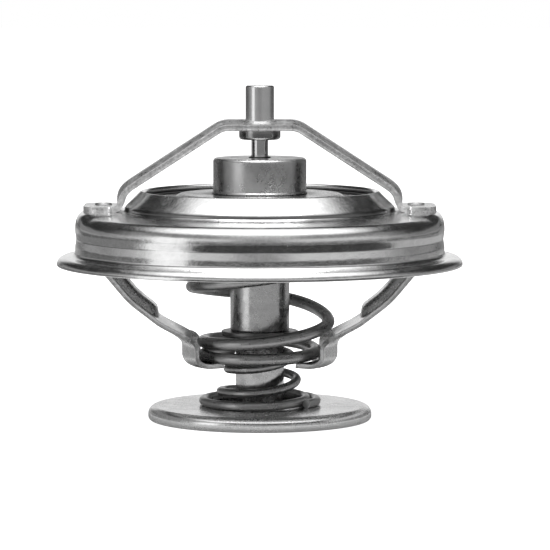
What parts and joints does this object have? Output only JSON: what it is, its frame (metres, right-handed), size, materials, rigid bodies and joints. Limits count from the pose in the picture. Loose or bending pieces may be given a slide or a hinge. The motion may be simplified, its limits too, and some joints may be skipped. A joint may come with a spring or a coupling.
{
  "type": "engine thermostat",
  "caption": "Wax-element engine thermostat with a flanged dome and seat, a bridge, a sprung main valve and a sprung bypass disc on a stem.",
  "frame": {"origin": "on the thermostat's axis, in the plane of the flange's underside", "axes": "+Z along the axis towards the adjuster pin; +X through the right foot of the bridge, with the bridge and both cage legs in the XZ plane"},
  "size_m": [0.067, 0.067, 0.0553],
  "materials": {
    "plated_sheet": "smooth pressed sheet with a soft satin sheen",
    "rivet_metal": "pressed, satin",
    "turned_steel": "turned, satin",
    "polished_steel": "ground and polished",
    "spring_steel": "drawn wire, dull satin",
    "element_metal": "drawn and plated, satin",
    "seal_rubber": "moulded, dull",
    "guide_brass": "turned",
    "wax": "solid wax with fine metal powder"
  },
  "bodies": {
    "frame": {"flange_shell": "plated_sheet", "bridge": "plated_sheet", "rivet_left": "rivet_metal", "rivet_right": "rivet_metal", "cage_leg_left": "plated_sheet", "cage_leg_right": "plated_sheet", "piston_socket": "turned_steel", "piston": "polished_steel", "main_spring": "spring_steel"},
    "valve": {"element_cup": "element_metal", "wax_charge": "wax", "rubber_boot": "seal_rubber", "guide": "guide_brass", "element_collar": "element_metal", "scraper_ring": "seal_rubber", "valve_plate": "plated_sheet", "valve_seal": "seal_rubber", "spring_washer": "turned_steel", "bypass_spring": "spring_steel", "retaining_ring": "spring_steel"},
    "bypass": {"bypass_disc": "plated_sheet"}
  },
  "joints": [
    {"name": "valve_lift", "type": "slide", "parent": "frame", "child": "valve", "axis": [0, 0, -1], "range_m": [0, 0.008], "stiffness_N_per_m": 10000, "springref_m": -0.006, "deforming": ["main_spring"]},
    {"name": "bypass_slide", "type": "slide", "parent": "valve", "child": "bypass", "axis": [0, 0, 1], "range_m": [0, 0.004], "stiffness_N_per_m": 2000, "springref_m": -0.005, "deforming": ["bypass_spring"]}
  ]
}
